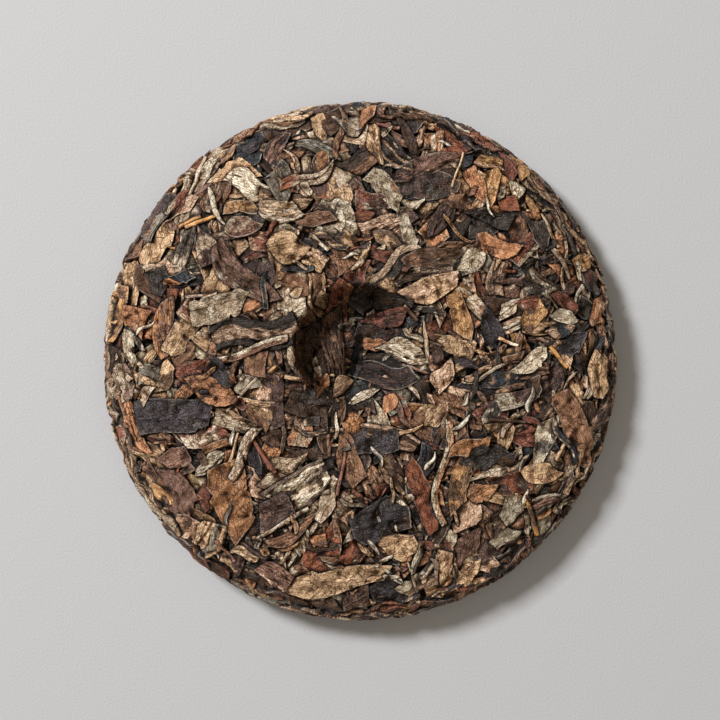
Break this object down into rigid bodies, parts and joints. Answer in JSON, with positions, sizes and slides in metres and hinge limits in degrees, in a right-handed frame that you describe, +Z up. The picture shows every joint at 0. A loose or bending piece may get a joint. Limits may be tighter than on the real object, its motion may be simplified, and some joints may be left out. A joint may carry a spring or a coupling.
{
  "type": "white tea cake",
  "caption": "Round domed cake of pressed aged tea leaves, with an off-centre dimple in its upper face.",
  "frame": {"origin": "centre of the flat underside that the cake rests on", "axes": "+Z up through the thickness, out of the dimpled upper face; +Y towards the top edge of the picture, +X towards its right edge"},
  "size_m": [0.1989, 0.2011, 0.0249],
  "materials": {
    "tea_leaves": "matte, dry and wrinkled"
  },
  "bodies": {
    "root": {"tea_cake": "tea_leaves"}
  },
  "joints": []
}
